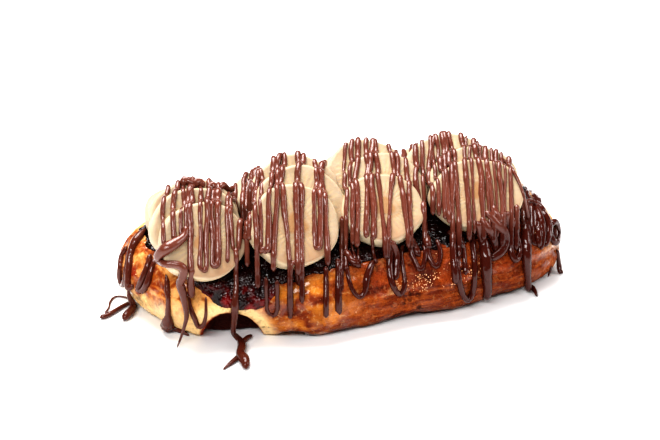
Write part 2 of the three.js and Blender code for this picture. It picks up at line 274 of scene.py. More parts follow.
def pushed(skin, depth):
    """Move a skin along its own normal."""
    normal = skin.node("GeometryNodeInputNormal")
    push = skin.node("ShaderNodeVectorMath", {"operation": "SCALE"}, {0: normal, "Scale": depth})
    return skin.node("GeometryNodeSetPosition", {}, {0: skin, "Offset": push})


print("outside every block the field is", OUTSIDE)

# %% [markdown]
# ## Finishes: the shared start
#
# Every finish is a Principled shader. What is the same all over goes straight on the shader's sockets, and
# only what changes over the surface is wired in.

# %% Material helper
def finish(name, paint, **constants):
    """A material: `paint` gets a wire of the object coordinates and returns the sockets that vary."""
    material = bpy.data.materials.new(name)
    material.use_nodes = True
    tree = material.node_tree
    shader = tree.nodes["Principled BSDF"]
    for socket, value in constants.items():
        shader.inputs[socket.replace("_", " ")].default_value = value
    place = Wire(tree).node("ShaderNodeTexCoord", out=3)
    for socket, wire in paint(place).items():
        tree.links.new(wire.socket, shader.inputs[socket])
    return material


def bumped(height, distance):
    """A Bump node for a height wire; the distance is in metres."""
    return height.node("ShaderNodeBump", {}, {"Height": height, "Distance": distance, "Strength": 1.0})


# %% [markdown]
# ## The camera
#
# The photograph looks down on the waffle from its front, a little to the left, through a long lens. The
# camera comes first, because the places where streams of chocolate turn are read off the picture as pixels,
# and a pixel means something only for a known camera.

# %% Camera
PICTURE = (660, 440)
AZIMUTH = math.radians(-22)
ELEVATION = math.radians(29)
DISTANCE = 600
LENS = 90
SENSOR = 36
TARGET = Vector((0, 0, 24))

level = math.cos(ELEVATION)
backward = Vector((math.sin(AZIMUTH) * level, -math.cos(AZIMUTH) * level, math.sin(ELEVATION)))
eye = TARGET + backward * DISTANCE
rightward = (-backward).cross(Vector((0, 0, 1))).normalized()
upward = rightward.cross(-backward)
FOCUS = PICTURE[0] * LENS / SENSOR

camera = link(bpy.data.objects.new("camera", bpy.data.cameras.new("camera")))
camera.data.lens = LENS
camera.data.sensor_width = SENSOR
camera.data.clip_start = 0.01
camera.location = eye * MM
camera.rotation_euler = (-backward).to_track_quat("-Z", "Y").to_euler()
bpy.context.scene.camera = camera


def pixel(point):
    """Column and row of a point in the picture."""
    offset = Vector(point) - eye
    depth = -offset.dot(backward)
    return (
        PICTURE[0] / 2 + FOCUS * offset.dot(rightward) / depth,
        PICTURE[1] / 2 - FOCUS * offset.dot(upward) / depth,
    )


def column_x(column, y, z):
    """X of the point at a depth and a height that shows at a column of the picture."""
    normal = rightward * FOCUS + backward * (column - PICTURE[0] / 2)
    rest = Vector((0, y, z)) - eye
    return -(rest.y * normal.y + rest.z * normal.z + rest.x * normal.x) / normal.x


print("the middle of the waffle shows at pixel", [round(v) for v in pixel((3.5, 0, 12))])

# %% [markdown]
# ## The crust
#
# A belgian waffle is baked between two irons: square pockets sink into both faces, bars stand between them,
# and the batter's edge swells out free. That is a rule and not a drawing, so a Geometry Nodes tree writes
# it as a field: positive inside the dough, negative outside. A volume is filled with the field, and its skin
# becomes the mesh. Rims round over by themselves, because the smaller of two fields is taken softly.

# %% Crust sizes
# In millimetres. The arch is the round of the mouth at the front left, and the fold a small one beside it.
CENTRE_X = 3.5
HALF_LENGTH = 81
HALF_WIDTH = 41
TOP = 25
PITCH = 23.5
POCKET_MOUTH = 16.4
POCKET_FLOOR = 13.4
POCKET_DEPTH = 9
POCKET_CORNER = 2.6
# Height, and how far in from the widest line the side lies there.
SIDE_PROFILE = [(0, 6.5), (1.6, 3.2), (6, 0.8), (12.5, 0), (17, 1.5), (21.5, 4.5), (24.3, 8), (25, 11)]
SEAM_X = (-12, 8)
SEAM_Y = (5, -10)
SEAM_Z = 11.2
SEAM_DEPTH = 1.2
BELLY_Z = 6
BELLY_SWELL = 0.5
ARCH_AT = (-44.9, -20.5)
ARCH_TURN = math.radians(-26)
ARCH_HEIGHT = 12
ARCH_WIDTH = 10.5
ARCH_REACH = 9.5
LOW_POCKET_EDGE = 13
FOLD_AT = (-27.5, -25)
FOLD_WIDTH = 4.5
FOLD_HEIGHT = 3.8
FOLD_REACH = 9


# %% The crust as a field
def outline_radius(angle):
    """From the waffle's middle to its edge, with the dents where the batter ran short."""
    lengthwise = (angle.math("COSINE") / HALF_LENGTH).math("ABSOLUTE") ** 4
    crosswise = (angle.math("SINE") / HALF_WIDTH).math("ABSOLUTE") ** 4
    even = (lengthwise + crosswise) ** -0.25
    degrees = angle.math("DEGREES") % 360
    dents = 1 - 0.19 * (degrees - 208).bell(16) - 0.07 * (degrees - 148).bell(11)
    dents = dents - 0.05 * (degrees - 36).bell(12) - 0.025 * (degrees - 263).bell(11)
    lobes = 0.8 * (angle * 7 + 1.3).math("SINE") + 0.5 * (angle * 11).math("SINE")
    return even * dents + lobes


def inset(x, y):
    """How far a spot lies inside the edge, measured square to it."""
    across = x - CENTRE_X
    angle = y.math("ARCTAN2", across)
    radius = outline_radius(angle)
    slope = (outline_radius(angle + 0.02) - outline_radius(angle - 0.02)) * 25 / radius
    reach = (across * across + y * y) ** 0.5
    return (radius - reach) / (slope * slope + 1) ** 0.5


def pocket(u, v, height, depth):
    """A tapered square hollow: negative inside it. `height` runs from its floor up to its mouth."""
    half = (height * ((POCKET_MOUTH - POCKET_FLOOR) / POCKET_DEPTH) + POCKET_FLOOR) * 0.5
    a = u - half + POCKET_CORNER
    b = v - half + POCKET_CORNER
    corner = (a.high(0) * a.high(0) + b.high(0) * b.high(0)) ** 0.5
    return (corner + a.high(b).low(0) - POCKET_CORNER).high(depth, 2.5)


def dough(x, y, z, edge):
    """The waffle without its pockets."""
    widest = SIDE_PROFILE[-1][1]
    points = [(height / TOP, side / widest) for height, side in SIDE_PROFILE]
    share = (z / TOP).low(1).high(0)
    profile = z.node("ShaderNodeFloatCurve", {"points": points}, {"Value": share}) * widest
    seam = (z - SEAM_Z).bell(1.3) * x.between(*SEAM_X) * y.between(*SEAM_Y)
    belly = (z - BELLY_Z).bell(3.2) * x.between(*SEAM_X) * y.between(*SEAM_Y)
    side = edge - profile - SEAM_DEPTH * seam + BELLY_SWELL * belly
    return side.low(TOP - z, 3).low(z, 0.8)


def arch_mouth(x, y, z):
    """How far a spot lies out of the round of the mouth that the dent opens at the front left."""
    side = math.cos(ARCH_TURN), math.sin(ARCH_TURN)
    out = math.sin(ARCH_TURN), -math.cos(ARCH_TURN)
    across = (x - ARCH_AT[0]) * side[0] + (y - ARCH_AT[1]) * side[1]
    along = (x - ARCH_AT[0]) * out[0] + (y - ARCH_AT[1]) * out[1]
    round_mouth = ((across / ARCH_WIDTH) ** 2 + (z / ARCH_HEIGHT) ** 2) ** 0.5 - 1
    # The mouth is closed a few millimetres in by a wall, which the finish paints dark as the shade of a
    # deeper hollow.
    return round_mouth + along.between(-3, -6) * 9

print("levels in the profile of the side:", len(SIDE_PROFILE))

# %% The tree of the crust
crust_sizes = {"Voxel": 0.85 * MM, "Roughness": 0.42 * MM}
tree, sizes = shape_tree("crust_shape", crust_sizes)
start = sizes["Voxel"]
position = start.node("GeometryNodeInputPosition")
wobble = start.node("ShaderNodeTexNoise", {}, {"Vector": position, "Scale": 45, "Detail": 2.0}, out=1)
centred = start.node("ShaderNodeVectorMath", {"operation": "SUBTRACT"}, {0: wobble, 1: (0.5, 0.5, 0.5)})
shifted = start.node(
    "ShaderNodeVectorMath",
    {"operation": "MULTIPLY_ADD"},
    {0: centred, 1: (4.5 * MM, 4.5 * MM, 1.2 * MM), 2: position},
)
x, y, z = millimetres(shifted)
edge = inset(x, y)
body = dough(x, y, z, edge)
row = (y / PITCH).math("ROUND").low(1).high(-1)
v = (y - row * PITCH).math("ABSOLUTE")
top_column = (x / PITCH).math("ROUND").low(2).high(-2)
low_column = (x / PITCH).math("FLOOR").low(2).high(-3) + 0.5
u_top = (x - top_column * PITCH).math("ABSOLUTE")
u_low = (x - low_column * PITCH).math("ABSOLUTE")
floor_z = TOP - POCKET_DEPTH
body = body.low(pocket(u_top, v, z - floor_z, floor_z - z), 2.2)
low_pocket = pocket(u_low, v, POCKET_DEPTH - z, z - POCKET_DEPTH)
body = body.low(low_pocket.high(LOW_POCKET_EDGE - edge, 1), 1.6)
body = body.low((arch_mouth(x, y, z) * 9).high(edge - ARCH_REACH, 1.5), 1.6)
fold = ((((x - FOLD_AT[0]) / FOLD_WIDTH) ** 2 + (z / FOLD_HEIGHT) ** 2) ** 0.5 - 1) * FOLD_HEIGHT
body = body.low(fold.high(edge - FOLD_REACH, 1).high(y - FOLD_AT[1]), 1)
print("mouth:", 2 * ARCH_WIDTH, "mm wide and", ARCH_HEIGHT, "mm high")

# %% [markdown]
# The field is sampled on a regular block of voxels a little larger than the waffle. Fine noise then moves
# the skin along its own normal, which gives the baked surface that no mould leaves quite smooth.

# %% Skin of the crust
CRUST_LOW = (-82, -46, -1.7)
CRUST_HIGH = (90, 45, 27.2)
skin = field_skin(body, start, CRUST_LOW, CRUST_HIGH)
pits = grain(position, 0.0024, 4.0, 0.62) + 1.8 * grain(position, 0.0075, 2.0)
depth = (pits - 1.4) * sizes["Roughness"] * 2 * z.between(0.2, 2)
skin = pushed(skin, depth)
print("crust block:", [b - a for a, b in zip(CRUST_LOW, CRUST_HIGH)], "mm")


# %% [markdown]
# ## Crust finish
#
# Sugar in the dough browns where the iron pressed hardest and stays pale where the batter hung free: mottled
# gold on the left, deep orange-brown to the right, fine level streaks below the seam, and cream at the lip
# of the mouth and low on the left. A smear of jam reddens the left end. Painted shade darkens the crust just
# above the table and inside the mouth, and painted light brightens part of the left end. A glaze of melted
# sugar lies over it in patches, so the coat changes as well as the colour. Noise makes the mottling, and soft
# steps on the height and the length say where each tone belongs, because that holds for any view.

# %% Crust material
PALE = linear(250, 216, 156)
GOLD = linear(216, 136, 50)
AMBER = linear(156, 66, 18)
BROWN = linear(92, 32, 11)
DARK = linear(36, 9, 3)
BAKED = linear(170, 80, 22)
STREAKS = linear(170, 88, 34), linear(98, 31, 10)
JAM_SMEAR = linear(140, 14, 8)
# Painted shade inside the mouth: red-brown at its rim, partly the baked inside, and near black deeper in.
SHADED_MOUTH_WALL = linear(150, 56, 16)
MOUTH_SHADE = linear(58, 16, 6)


def stretched(vector, factors):
    """A pattern's coordinates, squeezed by a factor along each axis."""
    return vector.node("ShaderNodeVectorMath", {"operation": "MULTIPLY"}, {0: vector, 1: factors})


def crust_paint(place):
    x, y, z = millimetres(place)
    clouds = grain(place, 0.014, 3.0, 0.6)
    blotch = grain(stretched(place, (0.7, 1, 1.3)), 0.007, 3.0, 0.55, 0.5)
    speck = grain(place, 0.0014, 3.0, 0.6)
    layers = grain(stretched(place, (1, 1, 5)), 0.007, 4.0, 0.7)
    front = y.between(4, -12)
    band = z.between(13.5, 11.5) * x.between(-16, 4) * x.between(84, 60) * front
    # Painted shade: the crust is darker just above the table, where the contact shade falls.
    foot = z.between(4.5, 0.5)
    mouth = arch_mouth(x, y, z)
    lip = (mouth - 0.22).bell(0.16) * front
    left_edge = z.between(15, 5) * x.between(-34, -52)
    right_end = x.between(64, 80) * z.between(4, 13)
    pale = lip * 1.3 + left_edge * 0.9 + right_end * 0.35 + clouds.between(0.58, 0.75) * 0.5 - band
    # Paler blotches on the left end: partly pale dough, partly painted light where that end is lit strongly.
    pale = (pale + x.between(-46, -60) * blotch.between(0.52, 0.36) * 0.45).high(0).low(1)
    toasted = clouds.between(0.6, 0.36) * (0.45 + x.between(-20, 10) * 0.25)
    # Besides browning, this darkens the crust low down, as painted shade near the table.
    toasted = toasted + blotch.between(0.46, 0.68) * 0.45 + z.between(19, 24) * 0.15 + z.between(10, 3) * 0.2
    brown = (toasted * (1 - band * 0.5) + foot * 0.5 - pale * 0.9).high(0).low(1)
    baked = x.between(-22, 6) * x.between(88, 66)
    crusty = blotch.between(0.56, 0.7) * speck.between(0.42, 0.6) * (1 + baked * 0.6)
    # Inside the mouth the colour is painted dark as its shade: red-brown over the rim of the hollow, near
    # black deeper in.
    hollow = mouth.between(0.1, 0.0)
    deep = mouth.between(0.05, -0.3)
    smear = x.between(-68, -73) * z.between(6, 10) * z.between(22, 17)
    colour = layered(
        mixed(blotch.between(0.35, 0.62), mixed(baked, GOLD, BAKED), AMBER),
        (brown, BROWN),
        (pale * (0.55 + speck * 0.6), PALE),
        (band * 0.75, mixed(layers.between(0.36, 0.62), *STREAKS)),
        (speck.between(0.52, 0.72) * 0.35, BROWN),
        (speck.between(0.46, 0.3) * (0.2 - baked * 0.1), PALE),
        # The crusty spots are the crust's own; the term near the table is painted shade.
        ((crusty * 0.5 + foot * band * 0.5).low(1), DARK),
        (smear * grain(place, 0.006, 3.0).between(0.45, 0.6) * 0.85, JAM_SMEAR),
        (hollow, SHADED_MOUTH_WALL),
        (deep, MOUTH_SHADE),
    )
    glaze = grain(place, 0.008, 2.0, 0.5, 1.2).between(0.42, 0.6) * (1 - hollow) * (1 - band * 0.6)
    relief = blotch * 0.6 + speck * (0.6 + baked * 0.5) + layers * band * 0.8
    return {
        "Base Color": colour,
        "Roughness": 0.66 - glaze * 0.42 + speck * 0.12,
        "Coat Weight": glaze * 0.75,
        "Normal": bumped(relief, 0.0014),
    }


crust_finish = finish("baked_crust", crust_paint, Coat_Roughness=0.08, Specular_IOR_Level=0.15)
close_tree(skin, crust_finish)
crust = grow("waffle_crust", tree, crust_sizes)
print("crust height:", round(max(v.co.z for v in crust.data.vertices) * 1000, 1), "mm")

# %% [markdown]
# ## Sugar
#
# Pearl sugar melts on the hot iron and leaves a glitter of pale and amber grains above the seam, with a few
# on the left shoulder. They are many and alike, so they are scattered: points on the crust, a bead of few
# faces on each, random sizes from a fixed seed.

# %% Sugar grains
SUGAR = linear(246, 200, 152), linear(216, 140, 84)


def sugar_paint(place):
    tone = grain(place, 0.004, 1.0)
    return {"Base Color": mixed(tone, *SUGAR), "Roughness": 0.1 + tone * 0.25}


sugar_finish = finish("melted_sugar", sugar_paint, Coat_Weight=0.6, Coat_Roughness=0.08, IOR=1.5)
sugar_sizes = {"Density": 2200000.0, "Bead": 0.26 * MM, "Seed": 5}
tree, sizes = shape_tree("sugar_scatter", sugar_sizes, takes_geometry=True)
start = sizes["Density"]
position = start.node("GeometryNodeInputPosition")
x, y, z = millimetres(position)
patch = grain(position, 0.009, 2.0).between(0.56, 0.7)
along_seam = (z - 14.6).bell(1.8) * x.between(5, 12) * x.between(50, 40)
along_seam = along_seam * grain(position, 0.006, 2.0).between(0.38, 0.56)
side_only = z.between(3, 7) * z.between(25, 21) * y.between(-18, -26)
shoulder = x.between(-54, -62) * z.between(8, 12) * z.between(23, 20) * patch * 0.25
factor = (patch * 0.02 + along_seam).low(1) * side_only + shoulder
points = start.node(
    "GeometryNodeDistributePointsOnFaces",
    {},
    {0: sizes["Geometry"], "Density": sizes["Density"] * factor, "Seed": sizes["Seed"]},
)
bead = start.node("GeometryNodeMeshIcoSphere", {}, {"Radius": sizes["Bead"], "Subdivisions": 1})
size = start.node(
    "FunctionNodeRandomValue", {"data_type": "FLOAT"}, {2: 0.3, 3: 1.25, "Seed": sizes["Seed"]}, out=1
)
beads = start.node("GeometryNodeInstanceOnPoints", {}, {0: points, "Instance": bead, "Scale": size})
close_tree(beads, sugar_finish)
sugar = grow("sugar_grains", tree, sugar_sizes, crust.data.copy())

# %% [markdown]
# ## The jam
#
# Dark berry jam fills the top pockets and lies in a lumpy sheet over the bars; at the front left it spills
# over the edge above the mouth. The tree reuses the dough's field: jam is whatever lies less than a
# spoonful above the unpocketed crust and far enough inside its edge, swollen where a berry lies under it.

# %% Jam shape
JAM_EDGE = 8.0
JAM_THICK = 1.5
JAM_FLOOR = 17.5
JAM_LOW = (-80, -42, 14)
JAM_HIGH = (86, 42, 31)
JAM = linear(10, 2, 2), linear(52, 4, 3)
THIN_JAM = linear(128, 8, 6)


def jam_paint(place):
    x, y, z = millimetres(place)
    thin = z.between(24, 20) * x.between(-20, -30) * y.between(-18, -28)
    thin = thin * grain(place, 0.006, 3.0).between(0.4, 0.7)
    lumps = grain(place, 0.005, 3.0, 0.6)
    tone = mixed((lumps * 2 - 0.75).high(0).low(1), *JAM)
    return {
        "Base Color": mixed(thin * 0.95, tone, THIN_JAM),
        "Roughness": 0.05 + lumps * 0.12,
        "Normal": bumped(grain(place, 0.003, 2.0, 0.55), 0.0018),
    }


jam_finish = finish("berry_jam", jam_paint, IOR=1.4)
jam_sizes = {"Voxel": 0.8 * MM, "Lumps": 0.85 * MM}
tree, sizes = shape_tree("jam_shape", jam_sizes)
start = sizes["Voxel"]
position = start.node("GeometryNodeInputPosition")
x, y, z = millimetres(position)
edge = inset(x, y)
berries = start.node(
    "ShaderNodeTexVoronoi",
    {"feature": "SMOOTH_F1"},
    {"Vector": position, "Scale": 125.0, "Smoothness": 0.3},
)
spill = (x + 42).bell(13) * y.between(-10, -24)
swell = (0.5 - berries).high(0) * (4.2 + spill * 3)
swell = swell + grain(position, 0.012, 2.0) * 1.6 - 1.2 - spill * 0.6
hold = JAM_EDGE + grain(position, 0.015, 2.0) * 5 - 2.5 - spill * 8
blanket = dough(x, y, z, edge) + JAM_THICK + swell * 0.8
jam_body = blanket.low(edge - hold, 2).low(z - (JAM_FLOOR - spill * 4), 1)
depth = (grain(position, 0.0028, 3.0, 0.65) - 0.5) * sizes["Lumps"] * 2
close_tree(pushed(field_skin(jam_body, start, JAM_LOW, JAM_HIGH), depth), jam_finish)
jam = grow("jam_layer", tree, jam_sizes)

# %% [markdown]
# ## The banana slices
#
# Sixteen thick slices lie in four columns, each leaning back on the next. A slice is a disc whose cut faces
# are nearly flat and whose edge rounds over a little, with the faint five sides of the fruit. Each vertex
# also keeps where it lies on the cut face, so that the finish can draw the core, its rays and the seeds.

# %% Slice places
THICK = 6.0
REST = 25.6
SPACE = 0.6
# Columns from left to right: Y of the front slice, the height that it rests at, and for each slice from front
# to back its X, lean and turn in degrees, width and height.
COLUMNS = {
    "a": (-28.5, 23.5, [
        (-53.1, 53, 6, 31.2, 26.9), (-53, 52, 6, 32.7, 26.4), (-51.9, 50, 2, 31.7, 25.2),
        (-50.5, 6, -4, 32, 30),
    ]),
    "b": (-34.2, 24.6, [
        (-21.7, 47, 4, 32.6, 29.4), (-17, 46, -2, 32.3, 30.5), (-14.7, 44, 0, 33, 30.4),
        (-15.5, 11, 3, 32, 31),
    ]),
    "c": (-32.5, 25.5, [
        (11.2, 36, -2, 30.2, 26.6), (18.3, 36, 3, 31.6, 29), (15.5, 37, 0, 31.2, 29.6),
        (18, 8, -3, 31, 29),
    ]),
    "d": (-35, 25.5, [
        (47, 38, -2, 35.6, 26.4), (51.5, 38, 2, 34.6, 26), (46, 36, -4, 34, 27.6),
        (51, 4, 2, 33, 30),
    ]),
}


def slice_places():
    """Name, centre, right, up, normal, width and height of every slice."""
    for name, (y, rest, slices) in COLUMNS.items():
        for index, (x, lean, turn, width, height) in enumerate(slices):
            lean, turn = math.radians(lean), math.radians(turn)
            right = Vector((math.cos(turn), math.sin(turn), 0))
            back = Vector((-math.sin(turn), math.cos(turn), 0))
            up = back * math.cos(lean) + Vector((0, 0, math.sin(lean)))
            facing = Vector((0, 0, math.cos(lean))) - back * math.sin(lean)
            lowest = Vector((x, y, (rest if index == 0 else REST) + THICK * math.cos(lean)))
            yield f"{name}{index + 1}", lowest + up * height / 2, right, up, facing, width, height
            if index + 1 < len(slices):
                next_lean = math.radians(slices[index + 1][1])
                y += THICK * (math.sin(lean) + math.cos(next_lean) / math.tan(lean)) + SPACE


# %% Slice finish
FLESH = linear(188, 170, 146), linear(172, 146, 116)
CORE = linear(166, 118, 70)
RAYS = linear(222, 192, 132)
# Painted shade: the darker tone towards the bottom of each cut face.
FACE_BOTTOM_SHADE = linear(162, 120, 88)
SEEDS = linear(70, 42, 20)
EDGE = linear(222, 204, 172)


def banana_paint(place):
    cut = place.node("ShaderNodeAttribute", {"attribute_name": "cut_face"}, out=1)
    u, v, face = split(cut)
    radius = (u * u + v * v) ** 0.5
    angle = v.math("ARCTAN2", u)
    lobes = (angle * 3 + 0.7).math("SINE") * 0.04
    core = (radius + lobes).between(0.34, 0.2)
    ring = (radius - 0.36 + lobes).bell(0.035)
    fine = grain(place, 0.0011, 2.0)
    soft = grain(place, 0.006, 3.0)
    rays = (angle * 34 + soft * 9).math("SINE") * 0.5 + 0.5
    rays = rays * radius.between(0.3, 0.45) * radius.between(0.92, 0.7)
    seed_ray = (angle * 3 + 0.7).math("SINE").between(0.9, 0.99)
    seeds = seed_ray * (radius - 0.24).bell(0.03) * grain(place, 0.0013, 1.0).between(0.52, 0.6)
    colour = layered(
        mixed(soft, *FLESH),
        ((core * 0.75 + ring * 0.35) * face, CORE),
        (rays * 0.22 * face, RAYS),
        # Painted shade: each cut face is darker towards its bottom, where the slices and streams shade it.
        (v.between(-0.1, -0.95) * (0.35 + soft * 0.4) * face, FACE_BOTTOM_SHADE),
        (seeds * face * 0.85, SEEDS),
        ((1 - face) * 0.5, EDGE),
    )
    relief = soft * 0.5 + fine * 0.25 - rays * face * 0.12 + core * face * 0.2
    return {"Base Color": colour, "Roughness": 0.42 + fine * 0.2, "Normal": bumped(relief, 0.0005)}


banana_finish = finish(
    "cut_banana",
    banana_paint,
    Subsurface_Weight=0.15,
    Subsurface_Radius=(1.0, 0.5, 0.25),
    Subsurface_Scale=0.003,
    IOR=1.4,
)

# %% Slice meshes
SECTORS = 84
FACE_RINGS = 12
EDGE_RINGS = 9
EDGE_ROUND = 1.1
FACE_SHARE = 0.985


def slice_profile():
    """Share of the radius, depth and face weight of each ring, from the front's middle to the back's."""
    rings = [(FACE_SHARE * k / FACE_RINGS, 0.0, 1.0) for k in range(1, FACE_RINGS)]
    for k in range(EDGE_RINGS + 1):
        part = k / EDGE_RINGS
        depth = THICK * part
        tuck = min(depth, THICK - depth) / EDGE_ROUND
        inward = 0.0 if tuck >= 1 else 1 - math.sqrt(max(0.0, 1 - (1 - tuck) ** 2))
        share = 1 - 0.045 * inward - 0.02 * abs(2 * part - 1) ** 2
        rings.append((share, depth, 1.0 if tuck < 0.1 else 0.0))
    rings += [(FACE_SHARE * k / FACE_RINGS, THICK, 1.0) for k in range(FACE_RINGS - 1, 0, -1)]
    return rings


def slice_mesh(label, centre, right, up, facing, width, height):
    vertices, cut, faces = [], [], []
    rings = slice_profile()
    phase = centre.x + centre.y

    def add(share, depth, angle, weight):
        five = 1 + 0.018 * math.cos(5 * angle + phase)
        u, v = share * math.cos(angle), share * math.sin(angle)
        point = centre + right * (u * five * width / 2) + up * (v * five * height / 2) - facing * depth
        rough = noise.noise(point / 4.5) * 0.22 + noise.noise(point / 1.3) * 0.07
        bulge = (1 - share**2) * 0.35 * (1 - 2 * depth / THICK)
        outward = (right * u + up * v) if 0 < depth < THICK else facing * (1 - 2 * depth / THICK)
        vertices.append(point + outward * rough + facing * bulge)
        cut.append((u, v, weight))

    add(0, 0, 0, 1)
    for share, depth, weight in rings:
        for k in range(SECTORS):
            add(share, depth, 2 * math.pi * k / SECTORS, weight)
    add(0, THICK, 0, 1)
    last = len(vertices) - 1
    for k in range(SECTORS):
        after = (k + 1) % SECTORS
        faces.append((0, 1 + k, 1 + after))
        faces.append((last, last - SECTORS + after, last - SECTORS + k))
        for ring in range(len(rings) - 1):
            low = 1 + ring * SECTORS
            faces.append((low + k, low + SECTORS + k, low + SECTORS + after, low + after))
    piece = mesh_piece(f"banana_slice_{label}", vertices, faces, banana_finish)
    stored = piece.data.attributes.new("cut_face", "FLOAT_VECTOR", "POINT")
    stored.data.foreach_set("vector", [c for spot in cut for c in spot])
    return piece


slices = {place[0]: slice_mesh(*place) for place in slice_places()}
print("slices:", len(slices), "with", len(slices["a1"].data.polygons), "faces each")

# %% [markdown]
# ## Chocolate: where a stream lies
#
# A stream of melted chocolate falls from above, lands on whatever is under it, and bridges small gaps. Its
# path is found as a cook would draw it: a line on the plan, from front to back, and then the height of what
# lies below at each spot. Rays find that height: level ones up the steep sides, upright ones over the top.

# %% What a stream lands on
# In millimetres, except SLANT, the X to each Y of a stream on the plan, and SPAN, which counts probes.
STREAM = 0.88
SLANT = 0.404
STEP = 0.8
SPAN = 10
SAG = 0.06
SHOULDER = 17.5
PROBE_Y = 52
PROBE_STEP = 0.6
SIDE_STEP = 0.9
ABOVE = 90
AWAY = 60
FRONT_Y = -40


def surface_tree(pieces):
    """One search tree over several pieces, in millimetres."""
    vertices, faces = [], []
    for piece in pieces:
        first = len(vertices)
        vertices += [v.co * 1000 for v in piece.data.vertices]
        faces += [[first + i for i in face.vertices] for face in piece.data.polygons]
    return BVHTree.FromPolygons(vertices, faces)


ground = surface_tree([crust, jam, *slices.values()])
LEVEL = Vector((SLANT, 1, 0)).normalized()


def section(x0, drift=lambda y: 0.0):
    """The front, top and back of everything along one slanted line, as points from front to back."""
    top = []
    for y in np.arange(-PROBE_Y, PROBE_Y, PROBE_STEP):
        above = Vector((x0 + SLANT * (y - FRONT_Y) + drift(y), y, ABOVE))
        hit = ground.ray_cast(above, Vector((0, 0, -1)))[0]
        if hit and hit.z > SHOULDER:
            top.append(hit)
    if not top:
        return []
    sides = []
    for direction, edge in ((LEVEL, top[0]), (-LEVEL, top[-1])):
        side = []
        for z in np.arange(1.2, SHOULDER, SIDE_STEP):
            far = Vector((edge.x, edge.y, z)) - direction * AWAY
            hit = ground.ray_cast(far, direction)[0]
            if hit:
                hangs_free = (hit - edge).dot(direction) > 0
                side.append(Vector((edge.x, edge.y, z)) if hangs_free else hit)
        sides.append(side)
    return sides[0] + top + sides[1][::-1]


def bridged(points):
    """Let the stream hang across notches instead of filling them."""
    y = np.array([p.y for p in points])
    z = np.array([p.z for p in points])
    raised = z.copy()
    for gap in range(2, SPAN + 1):
        for start in range(len(points) - gap):
            inner = np.arange(start + 1, start + gap)
            if y[start + gap] - y[start] < PROBE_STEP / 2 * gap:
                continue
            part = (inner - start) / gap
            sag = SAG * (inner - start) * (start + gap - inner)
            raised[inner] = np.maximum(raised[inner], z[start] + part * (z[start + gap] - z[start]) - sag)
    return [Vector((p.x, p.y, h)) for p, h in zip(points, raised)]


def evenly(points):
    """The same path with points a fixed step apart."""
    steps = np.array([0.0] + [(b - a).length for a, b in zip(points, points[1:])]).cumsum()
    count = max(2, int(steps[-1] / STEP) + 1)
    spots = np.linspace(0, steps[-1], count)
    axes = [np.interp(spots, steps, [p[k] for p in points]) for k in range(3)]
    return [Vector(p) for p in zip(*axes)]


def relaxed(points):
    """Soften corners twice, as a thick liquid does."""
    for _ in range(2):
        inner = [(a + b * 2 + c) / 4 for a, b, c in zip(points, points[1:], points[2:])]
        points = [points[0], *inner, points[-1]]
    return points


def lifted(points, height):
    """Move a path off the surface it lies on, square to its run."""
    out = []
    for k, point in enumerate(points):
        ahead = points[min(k + 1, len(points) - 1)] - points[max(k - 1, 0)]
        out.append(point - ahead.cross(Vector((1, -SLANT, 0))).normalized() * height)
    return out


print("a probe every", PROBE_STEP, "mm, spans of up to", SPAN, "probes")


# %% [markdown]
# ## Chocolate: the drizzle
#
# The bottle swings to and fro along the waffle, so the drizzle is a row of legs joined by U-turns. Each leg
# is given by the column of the picture where it crosses the slice's upper rim and where it ends, and by the
# row where it turns. The section below that column gives the rest, also where the camera can't look.

# %% Legs read off the picture
# Each turn: column at the rim and at the end of the left leg, column at the end and at the rim of the right
# leg, row of the turn, thickness, and the row where the pair starts if it doesn't come over the top.
TURNS = [
    (181, 181, 187, 187, 241, 1.1), (199, 200, 206, 207, 273, 1.1), (213, 210, 217, 218, 269, 1.3),
    (243, 246, 250, 250, 243, 1), (260, 262, 268, 271, 258, 1.1), (265, 266, 277, 277, 316, 0.9, 286),
    (315, 315, 320, 321, 251, 1.2), (291, 291, 301, 301, 286, 1, 272), (533, 533, 543, 543, 246, 1.1),
    (537, 537, 540, 540, 232, 1),
]
# Each single leg: column at the rim and at the end, row of the end, thickness, and any start row.
TIPS = [
    (163, 166, 246, 0.9), (173, 176, 242, 1.1), (190, 191, 272, 1.2), (227, 227, 265, 0.9),
    (231, 235, 252, 1), (240, 236, 252, 1.1), (248, 247, 268, 1.1), (255, 258, 290, 1.1),
    (278, 273, 275, 1.1), (282, 290, 320, 1.1), (297, 298, 278, 1.3), (301, 302, 306, 1),
    (323, 328, 266, 1.1), (325, 326, 318, 1, 272), (337, 338, 314, 1.1, 264), (341, 342, 292, 1, 225),
    (346, 346, 275, 0.9, 145), (352, 353, 246, 1), (357, 357, 250, 1.1), (367, 366, 240, 1.1),
    (372, 374, 244, 1.3), (378, 386, 262, 1), (392, 388, 262, 1), (399, 409, 250, 1.1),
    (407, 412, 250, 1.1), (418, 427, 246, 1.2), (424, 430, 244, 1), (432, 433, 219, 1.1),
    (436, 440, 220, 0.9), (441, 446, 221, 1), (445, 450, 224, 1.1), (450, 453, 262, 1.2),
    (454, 459, 262, 1), (465, 469, 242, 1.1), (470, 474, 236, 0.7), (478, 483, 244, 1.2),
    (483, 489, 238, 0.7), (486, 493, 246, 1.1), (493, 497, 242, 0.7), (498, 502, 250, 1.1),
    (504, 504, 246, 0.7), (509, 511, 252, 1), (516, 516, 252, 1.3, 208), (524, 525, 262, 1.4, 202),
    (528, 528, 246, 1.3, 203),
]

# %% One leg
RIM_Y, RIM_Z = -12, 46
END_Y, END_Z = -34, 26
TURN_DEPTH = 0.55
TURN_STEPS = 8
LOOSE_Y, LOOSE_OVER = -30, 20
PACE, KINK = 0.16, 1.1
random.seed(11)


def row_index(points, row):
    """First point of a section, counted from the front, that shows above a row of the picture."""
    for k, point in enumerate(points):
        if pixel(point)[1] <= row:
            return k
    return len(points) - 1


